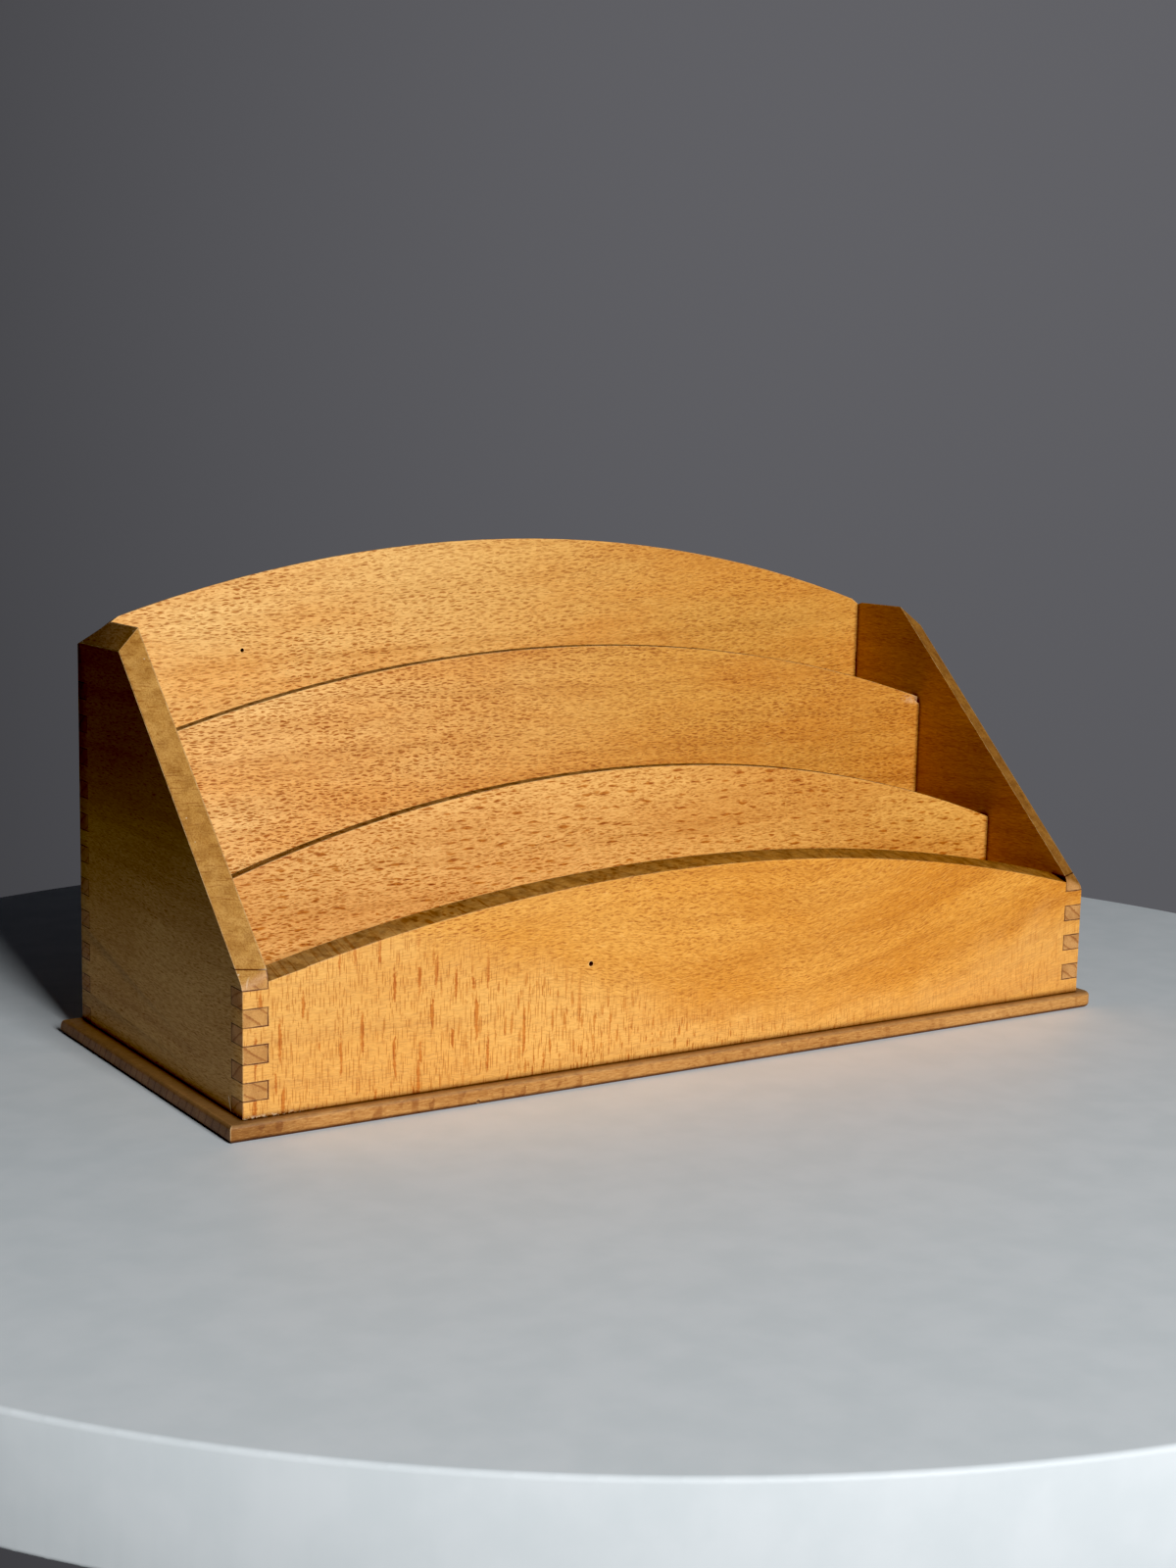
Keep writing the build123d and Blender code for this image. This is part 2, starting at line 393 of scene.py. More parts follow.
def edge_share(finish, reach):
    """1 on an edge, 0 on a flat, within a reach in mm."""
    rounded = finish.add("Bevel", {"Radius": reach * MM}, samples=4).outputs[0]
    dot = finish.add("VectorMath", {0: rounded, 1: finish.normal}, operation="DOT_PRODUCT")
    return finish.rise(dot.outputs["Value"], 0.99, 0.88)


def dusted(finish, colour, wood):
    """Dust and grease on everything that looks up.

    Grime and painted shade are added where the surface doesn't slope to the front, towards the lamp.
    The front's top has rings.
    """
    handled = handled_share(finish)
    dusty = finish.times(handled, finish.rise(finish.clouds(3.0, 4.0), 0.3, 0.7, 0.65, 1.0))
    # on the dividers this dust colour also paints shade on their tops
    colour = finish.stain(colour, dusty, wood["dust"])
    mottled = finish.times(handled, finish.rise(finish.clouds(4.0, 5.0), 0.42, 0.62, 0.0, 0.45))
    colour = finish.stain(colour, mottled, linear(196, 176, 150))
    # painted shade, with grime: upward faces that turn away from the front lamp are darkened
    leans_back = finish.rise(finish.split(finish.normal)[1], -0.2, 0.1)
    grime_and_shade = finish.times(handled, leans_back, wood["grime"])
    colour = finish.stain(colour, grime_and_shade, linear(177, 179, 226))
    if "veil" in wood:
        share, grey = wood["veil"]
        colour = finish.mix(finish.math("MULTIPLY", handled, share), colour, grey)
    if "top_rings" in wood:
        rings = ring_lines(finish, finish.x, finish.y, 38.0, wood["top_rings"])
        colour = finish.stain(colour, finish.times(rings, handled, 0.5), linear(196, 172, 146))
    return colour


def painted_left_shade(finish, colour):
    """Painted shade on the left outer face, which the lamp hardly reaches: darker towards its top,
    on all boards that meet there.
    """
    outer = finish.rise(finish.x, 0.5 - box_half / MM, 0.1 - box_half / MM)
    left_shade = finish.times(outer, finish.rise(finish.z, 28.0, 116.0))
    return finish.stain(colour, left_shade, linear(179, 167, 160))


def worn(finish, colour, wood):
    """Painted shade with some dirt deep in the corners, and pale, rubbed outer edges. Returns the
    corner shade as well.
    """
    corner_dirt_and_shade = corner_share(finish, 2.4)
    # painted shade: occlusion darkens the corners, with some dirt in them
    colour = finish.stain(colour, finish.math("MULTIPLY", corner_dirt_and_shade, 0.9), linear(120, 88, 60))
    rubbed = finish.times(edge_share(finish, 0.7), finish.math("SUBTRACT", 1.0, corner_dirt_and_shade))
    rubbed = finish.times(rubbed, finish.rise(finish.clouds(3.0, 4.0), 0.4, 0.6, 0.2, 0.65))
    return finish.mix(rubbed, colour, wood["bare"]), corner_dirt_and_shade


# %% [markdown]
# Round every finger of the corner joints runs a thin dark line of old glue. The joints fill
# four upright blocks in the corners of the box. Level lines cross a block at every finger,
# and an upright line closes each finger at its end.

# %% Wood, step 6: glue lines
def finger_steps(finish):
    """The height above the base board, counted in fingers."""
    return finish.math("DIVIDE", finish.math("SUBTRACT", finish.z, base_top / MM), finger / MM)


def below_joint_top(finish):
    """1 up to the top of the joints, which is higher at the back than at the front."""
    top = finish.rise(finish.y, -1.0, 1.0, front_joint_top / MM, back_joint_top / MM)
    return finish.rise(finish.math("SUBTRACT", finish.z, top), 0.3, 0.0)


def glued(finish, colour):
    """Draws the glue lines of the finger joints."""
    steps = finger_steps(finish)
    to_joint = finish.math("MULTIPLY", finish.math("PINGPONG", steps, 0.5), finger / MM)
    wide = finish.math("ABSOLUTE", finish.x)
    middle = (box_front + box_back) / 2 / MM
    deep = finish.math("ABSOLUTE", finish.math("SUBTRACT", finish.y, middle))
    wide_corner = inner_half / MM
    deep_corner = (box_back - box_front) / 2 / MM - board / MM
    in_wide = finish.rise(wide, wide_corner - 0.35, wide_corner - 0.3)
    in_deep = finish.rise(deep, deep_corner - 0.35, deep_corner - 0.3)
    odd = finish.rise(finish.math("PINGPONG", finish.math("SUBTRACT", steps, 0.5), 1.0), 0.49, 0.51)
    even = finish.math("SUBTRACT", 1.0, odd)
    level = finish.rise(to_joint, 0.3, 0.12)
    side_ends = finish.times(finish.near(wide, wide_corner, 0.32), odd)
    face_ends = finish.times(finish.near(deep, deep_corner, 0.32), even)
    lines = finish.math("MAXIMUM", level, finish.math("MAXIMUM", side_ends, face_ends))
    lines = finish.times(lines, in_wide, in_deep, below_joint_top(finish))
    lines = finish.times(lines, finish.rise(finish.clouds(3.0, 4.0), 0.35, 0.6, 0.6, 1.0))
    return finish.stain(colour, lines, linear(120, 82, 50))


# %% [markdown]
# Now the steps are put together. A board is described by a few words: how its grain lies,
# its tones, its rays. Dark marks are slightly sunk and less shiny, which a bump and the
# roughness show. Numbers that are the same all over go straight on the shader.

# %% The beech finish
def wood_colour(finish, place, wood, fibres):
    """Broad changes of tone: slow clouds, growth bands along the grain, fine fibres, and a ramp of
    painted shade along one direction.
    """
    slow = finish.noise(stretched(finish, place, 0.014, 0.05, 0.05), detail=3.0)
    colour = finish.mix(finish.rise(slow, 0.32, 0.68), wood["tone"], wood["deep"])
    bands = finish.noise(stretched(finish, place, 0.006, 0.22, 0.22), detail=3.0)
    colour = finish.stain(colour, finish.rise(bands, 0.4, 0.75, 0.0, 0.55), linear(222, 206, 180))
    # painted shade: the board darkens towards the end that the lamp lights less
    if "drift" in wood:
        axis, start, end, tint = wood["drift"]
        colour = finish.stain(colour, finish.rise(getattr(finish, axis), start, end), tint)
    colour = finish.stain(colour, finish.rise(fibres, 0.42, 0.72), linear(214, 194, 162))
    return finish.mix(finish.rise(fibres, 0.45, 0.25, 0.0, 0.3), colour, wood["pale"])


def beech(name, wood):
    """The whole finish of one board."""
    finish = Finish(name)
    place = grain_place(finish, wood)
    fibres = finish.noise(stretched(finish, place, 0.3, 2.4, 2.4), detail=3.0, roughness=0.75)
    colour = wood_colour(finish, place, wood, fibres)
    dark = dashes(finish, place, wood)
    if "quartered" in wood:
        quartered = wood["quartered"](finish, place)
        dark = finish.times(dark, finish.rise(quartered, 0.0, 1.0, 1.0, 0.1))
        colour = ribbons(finish, place, colour, quartered)
    colour = finish.stain(colour, dark, wood["ink"])
    if "bold" in wood:
        bold = rays(finish, place, *wood["bold"])
        colour = finish.stain(colour, bold, linear(208, 172, 110))
    colour = finish.mix(end_share(finish, wood)[0], colour, end_grain(finish, place, wood, fibres))
    colour = painted_left_shade(finish, dusted(finish, colour, wood))
    colour, corner_dirt_and_shade = worn(finish, colour, wood)
    if wood["jointed"]:
        colour = glued(finish, colour)
    if "marks" in wood:
        colour = wood["marks"](finish, colour)
    finish.feed(finish.shader.inputs["Base Color"], colour)

    rough = finish.rise(fibres, 0.2, 0.8, 0.46, 0.58)
    rough = finish.math("MULTIPLY_ADD", dark, 0.12, rough)
    rough = finish.math("MULTIPLY_ADD", corner_dirt_and_shade, 0.15, rough)
    finish.feed(finish.shader.inputs["Roughness"], rough)
    finish.shader.inputs["Specular IOR Level"].default_value = 0.35
    height = finish.math("MULTIPLY_ADD", dark, -0.8, finish.math("MULTIPLY", fibres, -0.6))
    bump = finish.add("Bump", {"Strength": 0.5, "Distance": 0.14 * MM, "Height": height})
    finish.feed(finish.shader.inputs["Normal"], bump.outputs[0])
    return finish.material


print("beech is ready to cut")

# %% [markdown]
# The new boards start from the CAD boards, so that every finger still fits its socket. A CAD
# mesh is made of loose triangles. They are merged and the flat ones joined, and then the
# board can be worked on by hand.

# %% A board to work on
def pick(piece):
    """Makes one object the only selected and the active one."""
    bpy.ops.object.select_all(action="DESELECT")
    piece.select_set(True)
    bpy.context.view_layer.objects.active = piece


def board_from(node, name):
    """A new piece with the shape of a packed board, tidied so that it can be worked on."""
    piece = bpy.data.objects.new(name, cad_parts[node].data.copy())
    bpy.context.scene.collection.objects.link(piece)
    pick(piece)
    bpy.ops.object.mode_set(mode="EDIT")
    bpy.ops.mesh.select_all(action="SELECT")
    bpy.ops.mesh.customdata_custom_splitnormals_clear()
    bpy.ops.mesh.remove_doubles(threshold=0.002 * MM)
    bpy.ops.mesh.dissolve_limited(angle_limit=math.radians(0.4))
    bpy.ops.mesh.select_all(action="DESELECT")
    bpy.ops.object.mode_set(mode="OBJECT")
    piece.data.materials.clear()
    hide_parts(node)
    return piece


print("boards can be copied")

# %% [markdown]
# Edges are rounded with a bevel, as with sandpaper. Which edges, is asked of a small test
# that gets the middle and the direction of each sharp edge.
#
# A bevel must not grow past the small edges beside it, or faces would overlap. Blender then
# makes the whole bevel narrower, so the width given here is only the most that it takes.
# It is worth measuring the mesh afterwards: two roundings below came out much narrower.

# %% Sandpaper
sharp = math.radians(25)


def round_edges(piece, chosen, width, segments=3):
    """Rounds the sharp edges that the test picks by at most this width.

    The test gets an edge's middle and direction.
    """
    pick(piece)
    bpy.ops.object.mode_set(mode="EDIT")
    bpy.ops.mesh.select_mode(type="EDGE")
    bpy.ops.mesh.select_all(action="DESELECT")
    mesh = bmesh.from_edit_mesh(piece.data)
    for edge in mesh.edges:
        if len(edge.link_faces) == 2 and edge.calc_face_angle(0.0) > sharp:
            start, end = (corner.co for corner in edge.verts)
            edge.select = chosen((start + end) / 2, (end - start).normalized())
    mesh.select_flush_mode()
    count = sum(edge.select for edge in mesh.edges)
    bmesh.update_edit_mesh(piece.data)
    if count:
        bpy.ops.mesh.bevel(offset=width, offset_type="OFFSET", segments=segments,
                           affect="EDGES", clamp_overlap=True)
    bpy.ops.object.mode_set(mode="OBJECT")
    print(piece.name, count, "edges rounded by at most", round(width / MM, 2), "mm")


def near(value, target, reach=0.05 * MM):
    return abs(value - target) < reach


arris = 0.45 * MM       # sanded outer edges
joint_gap = 0.08 * MM   # fine groove along the glue lines
front_foot = 0.5 * MM   # lower edge of the front
foot = 0.7 * MM         # lower edge of the back and the sides

# %% [markdown]
# The tests for the box: its upright corners, its foot just above the base board, the two
# arches, the fingers, the cut corner of the sides and the tops of the dividers.

# %% Which edges are meant
def outer_corner(middle, direction):
    """The upright edges of the box, on the outer faces."""
    upright = abs(direction.z) > 0.9
    at_side = near(abs(middle.x), box_half)
    at_face = near(middle.y, box_front) or near(middle.y, box_back)
    return upright and at_side and at_face


def outer_foot(middle, direction):
    """The lower outer edges of the box, just above the base board."""
    at_face = near(middle.y, box_front) or near(middle.y, box_back)
    outside = near(abs(middle.x), box_half) or at_face
    return outside and near(middle.z, base_top) and abs(direction.z) < 0.1


def front_arch(middle, direction):
    return abs(middle.x) < inner_half - 0.1 * MM and middle.z > front_joint_top - 1 * MM


def back_arch(middle, direction):
    return abs(middle.x) < inner_half - 0.1 * MM and middle.z > back_joint_top


def fingers(middle, direction):
    return abs(middle.x) > inner_half - 0.1 * MM and not near(middle.z, base_top)


def cut_corner(middle, direction):
    """The upper back edge of a side, where the slanting cut meets the back face."""
    return near(middle.y, box_back) and middle.z > 125 * MM and abs(direction.z) < 0.9


def divider_arch(middle, direction):
    return middle.z > 60 * MM and abs(middle.x) < inner_half - 0.5 * MM


# %% [markdown]
# First the front and the back. Their lower edge is rubbed off a little more, so that a dark
# line shows between the box and the base board. The front arch has room for only 0.25 mm of
# the sanding, and the back arch for nearly all of it.

# %% Front and back
front_panel = board_from("front_board", "front_panel")
round_edges(front_panel, outer_foot, front_foot)
round_edges(front_panel, outer_corner, arris)
round_edges(front_panel, front_arch, arris)
round_edges(front_panel, fingers, joint_gap, 1)

back_panel = board_from("back_board", "back_panel")
round_edges(back_panel, outer_foot, foot)
round_edges(back_panel, outer_corner, arris)
round_edges(back_panel, back_arch, arris)
round_edges(back_panel, fingers, joint_gap, 1)

# %% [markdown]
# Then the two sides. The upright corners come first and get their full rounding. The cut at
# the upper back comes last. It may take up to 1.2 mm, but beside the small edges of the
# rounded corners it comes out at only 0.14 mm. The long edges of the slope stay as cut.

# %% Sides
cut_rounding = 1.2 * MM     # the most it may take
side_panels = {}
for hand in ("left", "right"):
    side = board_from(hand + "_side", hand + "_panel")
    round_edges(side, outer_corner, arris)
    round_edges(side, outer_foot, foot)
    round_edges(side, cut_corner, cut_rounding)
    side_panels[hand] = side

# %% [markdown]
# The dividers keep a fairly sharp top. The base board and the screws only need their mesh
# tidied, because the CAD model has already rounded the one and slotted the others.

# %% Dividers, base board and screws
divider_arris = 0.4 * MM
partitions = {}
for row in ("front", "rear"):
    partition = board_from(row + "_divider", row + "_partition")
    round_edges(partition, divider_arch, divider_arris)
    partitions[row] = partition

plinth = board_from("base_board", "plinth")
screws = board_from("base_screws", "screws")

# %% [markdown]
# Years of use have left a few small marks: a worm hole in the front board and one in the
# back board, a chip off the corner of the rear divider, a dent in the left slope and a nick
# in the edge of the base. Each is cut away with a small tool shape, as a drill or a knock
# would do it.

# %% Small marks cut into the wood
def cut_away(piece, tool):
    """Takes the tool's shape out of the piece and puts the tool away."""
    cut = piece.modifiers.new("cut", "BOOLEAN")
    cut.operation = "DIFFERENCE"
    cut.object = tool
    cut.solver = "EXACT"
    pick(piece)
    bpy.ops.object.modifier_apply(modifier=cut.name)
    bpy.data.objects.remove(tool)
    print(piece.name, "marked, now", len(piece.data.polygons), "faces")


def worm_hole(piece, place, width, depth):
    """A narrow hole bored straight into an upright face from the front."""
    bpy.ops.object.select_all(action="DESELECT")
    bpy.ops.mesh.primitive_cone_add(vertices=20, radius1=width / 2, radius2=width * 0.3,
                                    depth=depth, location=place, rotation=(-math.pi / 2, 0, 0))
    cut_away(piece, bpy.context.active_object)


def knock(piece, place, size):
    """A shallow irregular dent, by a stone-like shape of this size in three directions."""
    bpy.ops.object.select_all(action="DESELECT")
    bpy.ops.mesh.primitive_ico_sphere_add(subdivisions=2, radius=1.0, location=place,
                                          rotation=(0.4, 0.7, 0.2), scale=size)
    cut_away(piece, bpy.context.active_object)


hole_depth = 5 * MM
front_hole = (-47.5 * MM, box_front, 39.3 * MM)
worm_hole(front_panel, front_hole, 2.0 * MM, hole_depth)
back_hole = (-111.4 * MM, box_back - board, 130.2 * MM)
worm_hole(back_panel, back_hole, 1.7 * MM, hole_depth)
corner_chip = Vector((inner_half - 1.0 * MM, rear_low.y, 106.4 * MM))
knock(partitions["rear"], corner_chip, (4.6 * MM, 1.3 * MM, 1.5 * MM))
slope_dent = (0.3 * MM - inner_half, box_front + 56.1 * MM, 99.6 * MM)
knock(side_panels["left"], slope_dent, (1.0 * MM, 1.4 * MM, 1.0 * MM))
base_nick = (-90.0 * MM, base_low.y, 1.0 * MM)
knock(plinth, base_nick, (0.9 * MM, 0.5 * MM, 0.7 * MM))

# %% [markdown]
# The top of each side ends in a slanting cut at the back. The arch of the back panel meets
# it there, and the arch's last few millimetres are taken down to the same slant.

# %% Ends of the back arch
side_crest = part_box("left_side")[1].z
slant = Vector((0, 10.5 * MM, -3.1 * MM))   # the side's cut, seen from the side
ease_rise = 0.7                             # how steeply the eased end climbs inwards
block = 24 * MM                             # a cube that covers all that is taken off


def ease_end(piece, end):
    """Takes down one end of the arch with a cube: -1 at the left, 1 at the right."""
    inward = Vector((-end, 0, ease_rise))
    up = slant.cross(inward).normalized() * end
    start = Vector((end * inner_half, box_back - slant.y, side_crest))
    place = start + slant / 2 + up * block / 2
    turn = up.to_track_quat("Z", "Y").to_euler()
    bpy.ops.object.select_all(action="DESELECT")
    bpy.ops.mesh.primitive_cube_add(size=block, location=place, rotation=turn)
    cut_away(piece, bpy.context.active_object)


for end in (-1, 1):
    ease_end(back_panel, end)

# %% [markdown]
# Some marks are only colour. The front board is quarter-sawn low down at the left and a
# little at the right, and its lower left edge has crumbled.

# %% Marks of the front board
def quartered_front(finish, place):
    """Where the front board is quarter-sawn."""
    left_part = finish.rise(finish.x, -160.0, 45.0, 52.0, 3.0)
    right_part = finish.rise(finish.x, 75.0, 160.0, 0.0, 24.0)
    lumps = finish.noise(stretched(finish, place, 0.08, 0.08, 0.0), detail=4.0)
    border = finish.math("ADD", left_part, right_part)
    border = finish.math("MULTIPLY_ADD", lumps, 22.0, border)
    return finish.rise(finish.math("SUBTRACT", finish.z, border), 8.0, -12.0)


def front_marks(finish, colour):
    """A crumbled lower edge towards the left corner, pale where the wood has torn."""
    rough = finish.clouds(0.9, 2.0)
    low = finish.times(finish.rise(finish.z, 6.9, 5.9), finish.rise(finish.x, -140.0, -158.0))
    torn = finish.times(finish.rise(rough, 0.52, 0.62), low, 0.55)
    colour = finish.mix(torn, colour, linear(238, 214, 176))
    pits = finish.times(finish.rise(rough, 0.42, 0.34), low)
    return finish.stain(colour, pits, linear(150, 110, 70))


print("front marks ready")

# %% [markdown]
# Where the corner of the rear divider has broken off, the torn wood is pale.

# %% Marks of the rear divider
def rear_marks(finish, colour):
    """Pale torn wood round the chipped corner."""
    away = finish.vector("SUBTRACT", finish.here, corner_chip / MM)
    away = stretched(finish, finish.split(away), 1 / 9.0, 1 / 4.0, 1 / 2.4)
    reach = finish.add("VectorMath", {0: away}, operation="LENGTH").outputs["Value"]
    torn = finish.times(finish.rise(reach, 1.1, 0.6), finish.rise(finish.clouds(1.5), 0.35, 0.6))
    return finish.mix(finish.math("MULTIPLY", torn, 0.45), colour, linear(226, 184, 140))


print("chip at", [round(side / MM, 1) for side in corner_chip])

# %% [markdown]
# The left side has tiny pale specks, a thread of old glue near the foot, and a faint curved
# scratch where the slope meets the front.

# %% Marks of the left side
thread_start = 6.1      # mm behind the front face, at the table
thread_lean = 0.395     # mm further back for each mm of height
scratch_inward = 7.0    # middle of the curved scratch, mm in from the outer face
scratch_height = 44.0   # the same middle, mm above the table
scratch_radius = 5.6    # mm


def left_marks(finish, colour):
    """Specks, a thread of glue and a curved scratch on the left side."""
    depth = finish.math("SUBTRACT", finish.y, box_front / MM)
    dots = finish.specks(5.0, 0.75, 0.35)
    colour = finish.mix(finish.math("MULTIPLY", dots, 0.75), colour, linear(228, 204, 166))
    glue_run = finish.math("MULTIPLY_ADD", finish.z, thread_lean, thread_start)
    thread = finish.near(finish.math("SUBTRACT", depth, glue_run), 0.0, 0.35)
    outer = finish.rise(finish.x, 0.4 - box_half / MM, 0.1 - box_half / MM)
    thread = finish.times(thread, finish.rise(finish.z, 10.6, 9.8), outer)
    colour = finish.mix(thread, colour, linear(240, 226, 200))
    inward = finish.math("ADD", finish.x, box_half / MM)
    above = finish.math("SUBTRACT", finish.z, scratch_height)
    beside = finish.math("SUBTRACT", inward, scratch_inward)
    off_middle = finish.combine(beside, above, 0.0)
    away = finish.add("VectorMath", {0: off_middle}, operation="LENGTH").outputs["Value"]
    scratch = finish.near(away, scratch_radius, 0.28)
    upper_half = finish.rise(finish.z, scratch_height, scratch_height + 2.0)
    scratch = finish.times(scratch, finish.rise(depth, 2.0, 1.0), upper_half)
    return finish.mix(finish.math("MULTIPLY", scratch, 0.35), colour, linear(232, 206, 168))


print("left marks ready")

# %% [markdown]
# Each board is cut from its own stretch of timber, so each gets its own shift, tone and
# size of dash. What most boards share stands in one place.

# %% What the boards share
brown_ink = linear(186, 144, 80)
warm_ink = linear(200, 162, 96)


def timber(**own):
    """The words for one board: what is common, and what is the board's own."""
    common = {
        "axes": "XZY", "flow": 8.0, "strength": 0.9, "ink": brown_ink,
        "end": linear(196, 144, 90), "end_deep": linear(176, 124, 74),
        "pale": linear(252, 208, 132), "bare": linear(236, 200, 148),
        "dust": linear(196, 190, 172), "grime": 0.0, "jointed": False,
    }
    return common | own


print("one dash is as dark as", [round(channel, 2) for channel in brown_ink])

# %% [markdown]
# The front board is the most golden one, with the shortest dashes. Its grain climbs towards
# the right.

# %% Timber of the front and the back
woods = {}
woods["front_panel"] = timber(
    shift=(11, 5, 3), flow=18.0, climb=(40.0, 0.22),
    tone=linear(230, 166, 76), deep=linear(222, 152, 58),
    # painted shade, darker towards the right end
    drift=("x", -60.0, 150.0, linear(252, 244, 216)),
    dash=(2.2, 0.46), pitch=(3.1, 1.3), strength=0.8, ink=warm_ink,
    dust=linear(186, 188, 212),
    quartered=quartered_front, marks=front_marks, top_rings=6.5, jointed=True,
)
woods["back_panel"] = timber(
    shift=(140, 35, 60), tilt=0.06,
    tone=linear(252, 204, 128), deep=linear(246, 186, 104),
    # painted shade, darker towards the right end
    drift=("x", -150.0, 110.0, linear(226, 206, 156)),
    dash=(3.2, 0.66), pitch=(4.0, 1.7), jointed=True,
)

# %% [markdown]
# The rear divider has fine close dashes. The front divider has the boldest ones.

# %% Timber of the dividers
# the dark dust on the dividers' tops is also painted shade
divider_dust_and_shade = linear(112, 94, 66)
woods["rear_partition"] = timber(
    shift=(410, 10, 95),
    tone=linear(250, 200, 126), deep=linear(240, 178, 98),
    # painted shade, darker towards the right end
    drift=("x", -150.0, 60.0, linear(226, 206, 152)),
    dash=(2.8, 0.54), pitch=(3.4, 1.3), strength=1.0, dust=divider_dust_and_shade, marks=rear_marks,
)
woods["front_partition"] = timber(
    shift=(620, 70, 20), flow=12.0,
    tone=linear(243, 187, 112), deep=linear(231, 168, 92),
    # painted shade, darker towards the right end
    drift=("x", -130.0, 150.0, linear(244, 236, 196)),
    dash=(2.5, 0.56), pitch=(3.2, 1.4), strength=1.0, ink=warm_ink, dust=divider_dust_and_shade,
    bold=((4.8, 0.9), (6.5, 3.4), 0.55),
)

# %% [markdown]
# The sides are darker than the front, the back and the dividers. Their grain runs from
# front to back.

# %% Timber of the sides
woods["left_panel"] = timber(
    axes="YZX", shift=(35, 300, 15),
    tone=linear(214, 166, 98), deep=linear(200, 150, 82),
    end=linear(207, 154, 86), end_deep=linear(187, 134, 72), dust=linear(250, 246, 228),
    # grime=1.0 also paints shade on the upward faces that turn away from the lamp
    dash=(3.0, 0.4), pitch=(5.0, 1.9), strength=0.5, grime=1.0,
    marks=left_marks, jointed=True,
)
woods["right_panel"] = timber(
    axes="YZX", shift=(75, 500, 45), flow=10.0,
    tone=linear(200, 144, 62), deep=linear(184, 127, 50),
    end=linear(202, 150, 90), end_deep=linear(182, 130, 74),
    dash=(5.0, 0.42), pitch=(8.0, 2.2), strength=0.5, jointed=True,
)

# %% [markdown]
# The base board is dull and grey on top, where dust lies.

# %% Timber of the base board
woods["plinth"] = timber(
    axes="XYZ", shift=(200, 210, 9), flow=10.0,
    tone=linear(198, 145, 82), deep=linear(184, 130, 68),
    end=linear(150, 106, 66), end_deep=linear(132, 92, 56),
    dash=(4.0, 0.42), pitch=(6.0, 1.8), strength=0.55,
    # painted shade, darker at the left end
    drift=("x", -140.0, -166.0, linear(198, 186, 164)),
    dust=linear(222, 214, 200), veil=(0.3, linear(182, 150, 108)),
)

# %% [markdown]
# Every board gets its smooth shading and its own beech.

# %% Finish the boards
smooth_below = math.radians(24)


def finish_piece(piece, material):
    """Smooth shading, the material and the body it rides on."""
    pick(piece)
    bpy.ops.object.shade_smooth_by_angle(angle=smooth_below)
    piece.data.materials.append(material)
    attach(piece, "root")
    print(piece.name, len(piece.data.polygons), "faces")


for piece in (front_panel, back_panel, *side_panels.values(), *partitions.values(), plinth):
    finish_piece(piece, beech("beech_" + piece.name, woods[piece.name]))

# %% [markdown]
# The screws sit in the underside. The steel is plain and a little dull, with grime in it.

# %% The screws
steel = Finish("screw_steel")
grime = steel.noise(steel.here, detail=3.0)
bright_steel = linear(176, 172, 164)
dull_steel = linear(118, 108, 96)
steel_colour = steel.mix(steel.rise(grime, 0.35, 0.7), bright_steel, dull_steel)
steel.feed(steel.shader.inputs["Base Color"], steel_colour)
steel.feed(steel.shader.inputs["Roughness"], steel.rise(grime, 0.3, 0.7, 0.28, 0.5))
steel.shader.inputs["Metallic"].default_value = 1.0
finish_piece(screws, steel.material)

# %% [markdown]
# The rack stands on a round pale top with a softened rim.

# %% The floor
floor_radius = 342 * MM
floor_thickness = 32 * MM
floor_middle = (-5.2 * MM, -17.9 * MM, -floor_thickness / 2)
rim = 1.5 * MM
bpy.ops.object.select_all(action="DESELECT")
bpy.ops.mesh.primitive_cylinder_add(vertices=256, radius=floor_radius, depth=floor_thickness,
                                    location=floor_middle)
floor = bpy.context.active_object
floor.name = "floor"
bpy.ops.object.mode_set(mode="EDIT")
bpy.ops.mesh.select_all(action="SELECT")
bpy.ops.mesh.bevel(offset=rim, segments=4, affect="EDGES")
bpy.ops.object.mode_set(mode="OBJECT")
bpy.ops.object.shade_smooth_by_angle(angle=math.radians(30))

paint = Finish("pale_floor")
speckle = paint.clouds(17.0, 4.0)
paint_colour = paint.mix(paint.rise(speckle, 0.3, 0.7), linear(232, 239, 243), linear(226, 234, 238))
paint.feed(paint.shader.inputs["Base Color"], paint_colour)
paint.shader.inputs["Roughness"].default_value = 0.5
paint.shader.inputs["Specular IOR Level"].default_value = 0.3
floor.data.materials.append(paint.material)
print("floor radius", floor_radius)

# %% [markdown]
# The room behind is dim and grey. It is lighter on the right, where the wall catches light,
# and darker overhead, so that the shadows stay deep.

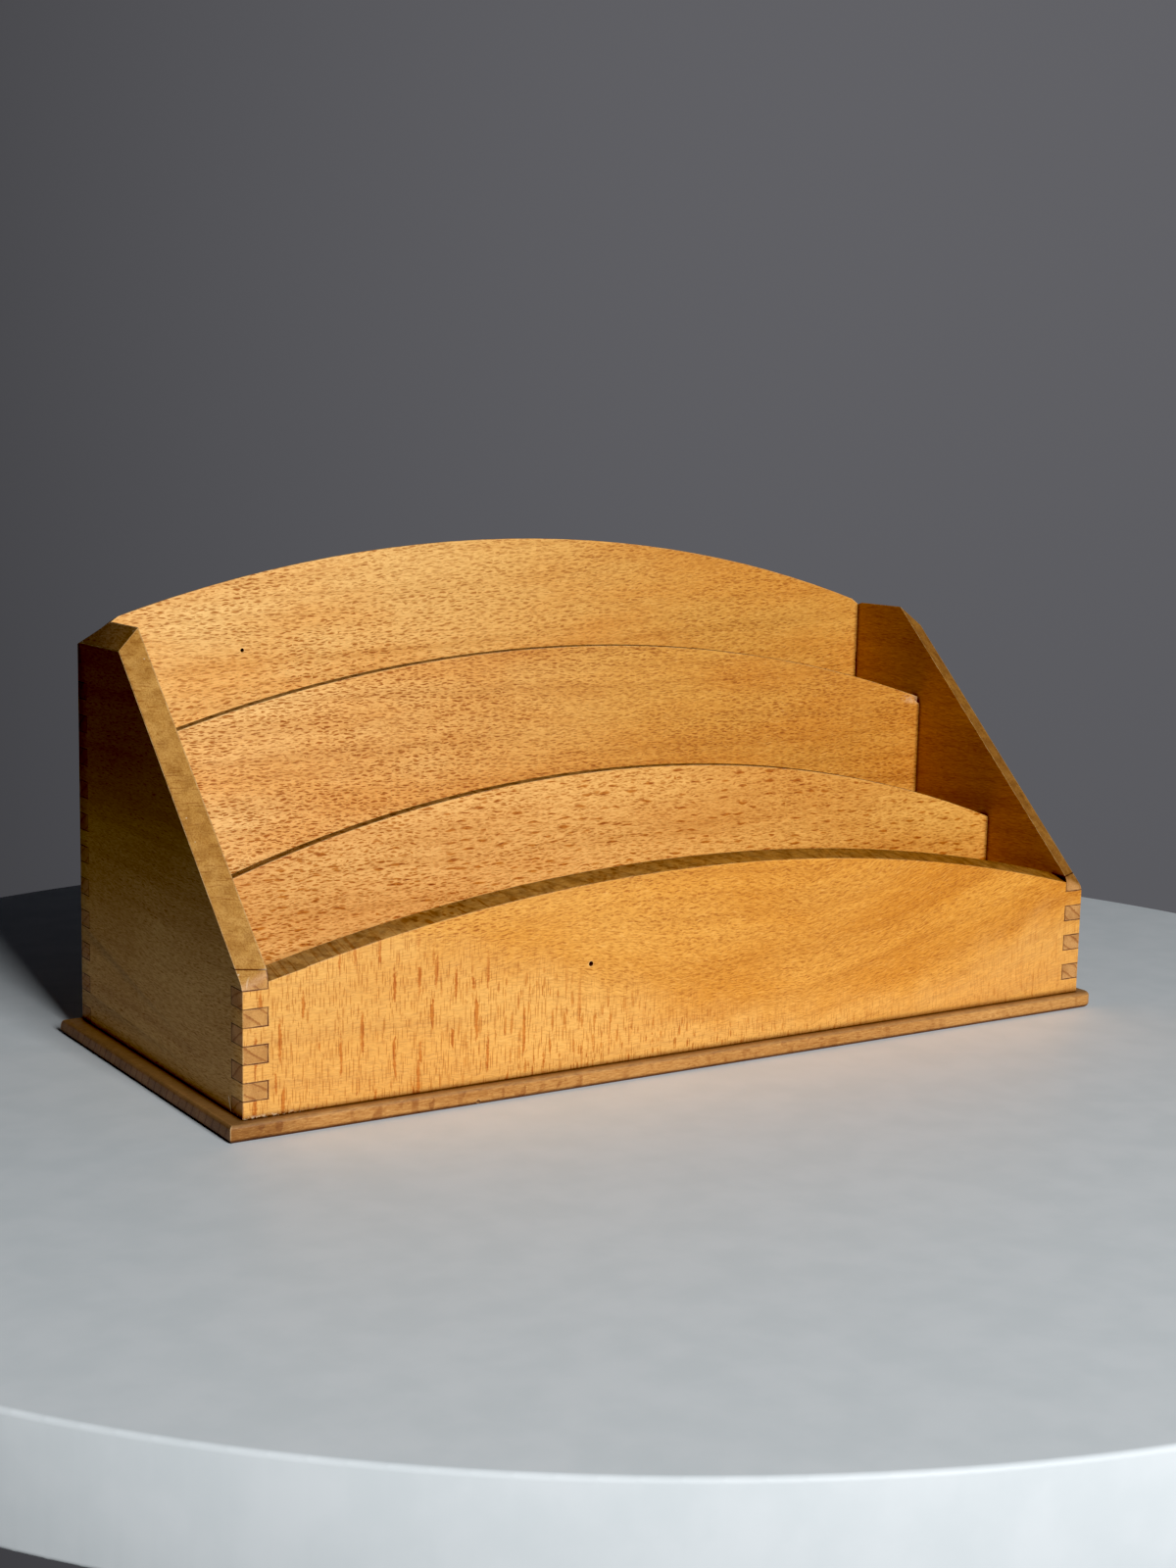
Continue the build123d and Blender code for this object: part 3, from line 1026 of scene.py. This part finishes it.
# %% The room
def room_part(room, value, low, high, start, end):
    """A smooth change of the room's light along one direction."""
    node = room.nodes.new("ShaderNodeMapRange")
    node.interpolation_type = "SMOOTHSTEP"
    room.links.new(value, node.inputs[0])
    for socket, setting in zip(node.inputs[1:5], (low, high, start, end)):
        socket.default_value = setting
    return node.outputs[0]


def product(room, first, second):
    node = room.nodes.new("ShaderNodeMath")
    node.operation = "MULTIPLY"
    room.links.new(first, node.inputs[0])
    room.links.new(second, node.inputs[1])
    return node.outputs[0]


world = bpy.data.worlds.new("grey_room")
world.use_nodes = True
room = world.node_tree
direction = room.nodes.new("ShaderNodeTexCoord")
parts = room.nodes.new("ShaderNodeSeparateXYZ")
room.links.new(direction.outputs["Generated"], parts.inputs[0])
across = room_part(room, parts.outputs[0], -0.1, 0.65, 0.12, 1.15)
upward = room_part(room, parts.outputs[2], -0.25, 0.2, 0.85, 1.0)
overhead = room_part(room, parts.outputs[2], 0.25, 0.6, 1.0, 0.28)
shade = product(room, product(room, across, upward), overhead)
backdrop = room.nodes["Background"]
backdrop.inputs[0].default_value = linear(95, 95, 99)
room.links.new(shade, backdrop.inputs[1])
bpy.context.scene.world = world
print("room", world.name)

# %% [markdown]
# One broad soft lamp stands in front, 5 m away and 24 degrees up, much as a window would.
# The upright faces are bright, and the tops and sides fall into shade.

# %% The lamp
def lamp(name, place, target, width, height, power):
    """A soft white lamp that looks at a point."""
    data = bpy.data.lights.new(name, "AREA")
    data.shape = "RECTANGLE"
    data.size = width
    data.size_y = height
    data.energy = power
    light = bpy.data.objects.new(name, data)
    bpy.context.scene.collection.objects.link(light)
    light.location = place
    light.rotation_euler = (Vector(target) - Vector(place)).to_track_quat("-Z", "Y").to_euler()


window_place = (-0.22, -4.66, 2.15)
rack_middle = (0, 0, 0.07)
window_watts = 270.0
lamp("window", window_place, rack_middle, 1.4, 1.5, window_watts)
print("lamps:", len(bpy.data.lights))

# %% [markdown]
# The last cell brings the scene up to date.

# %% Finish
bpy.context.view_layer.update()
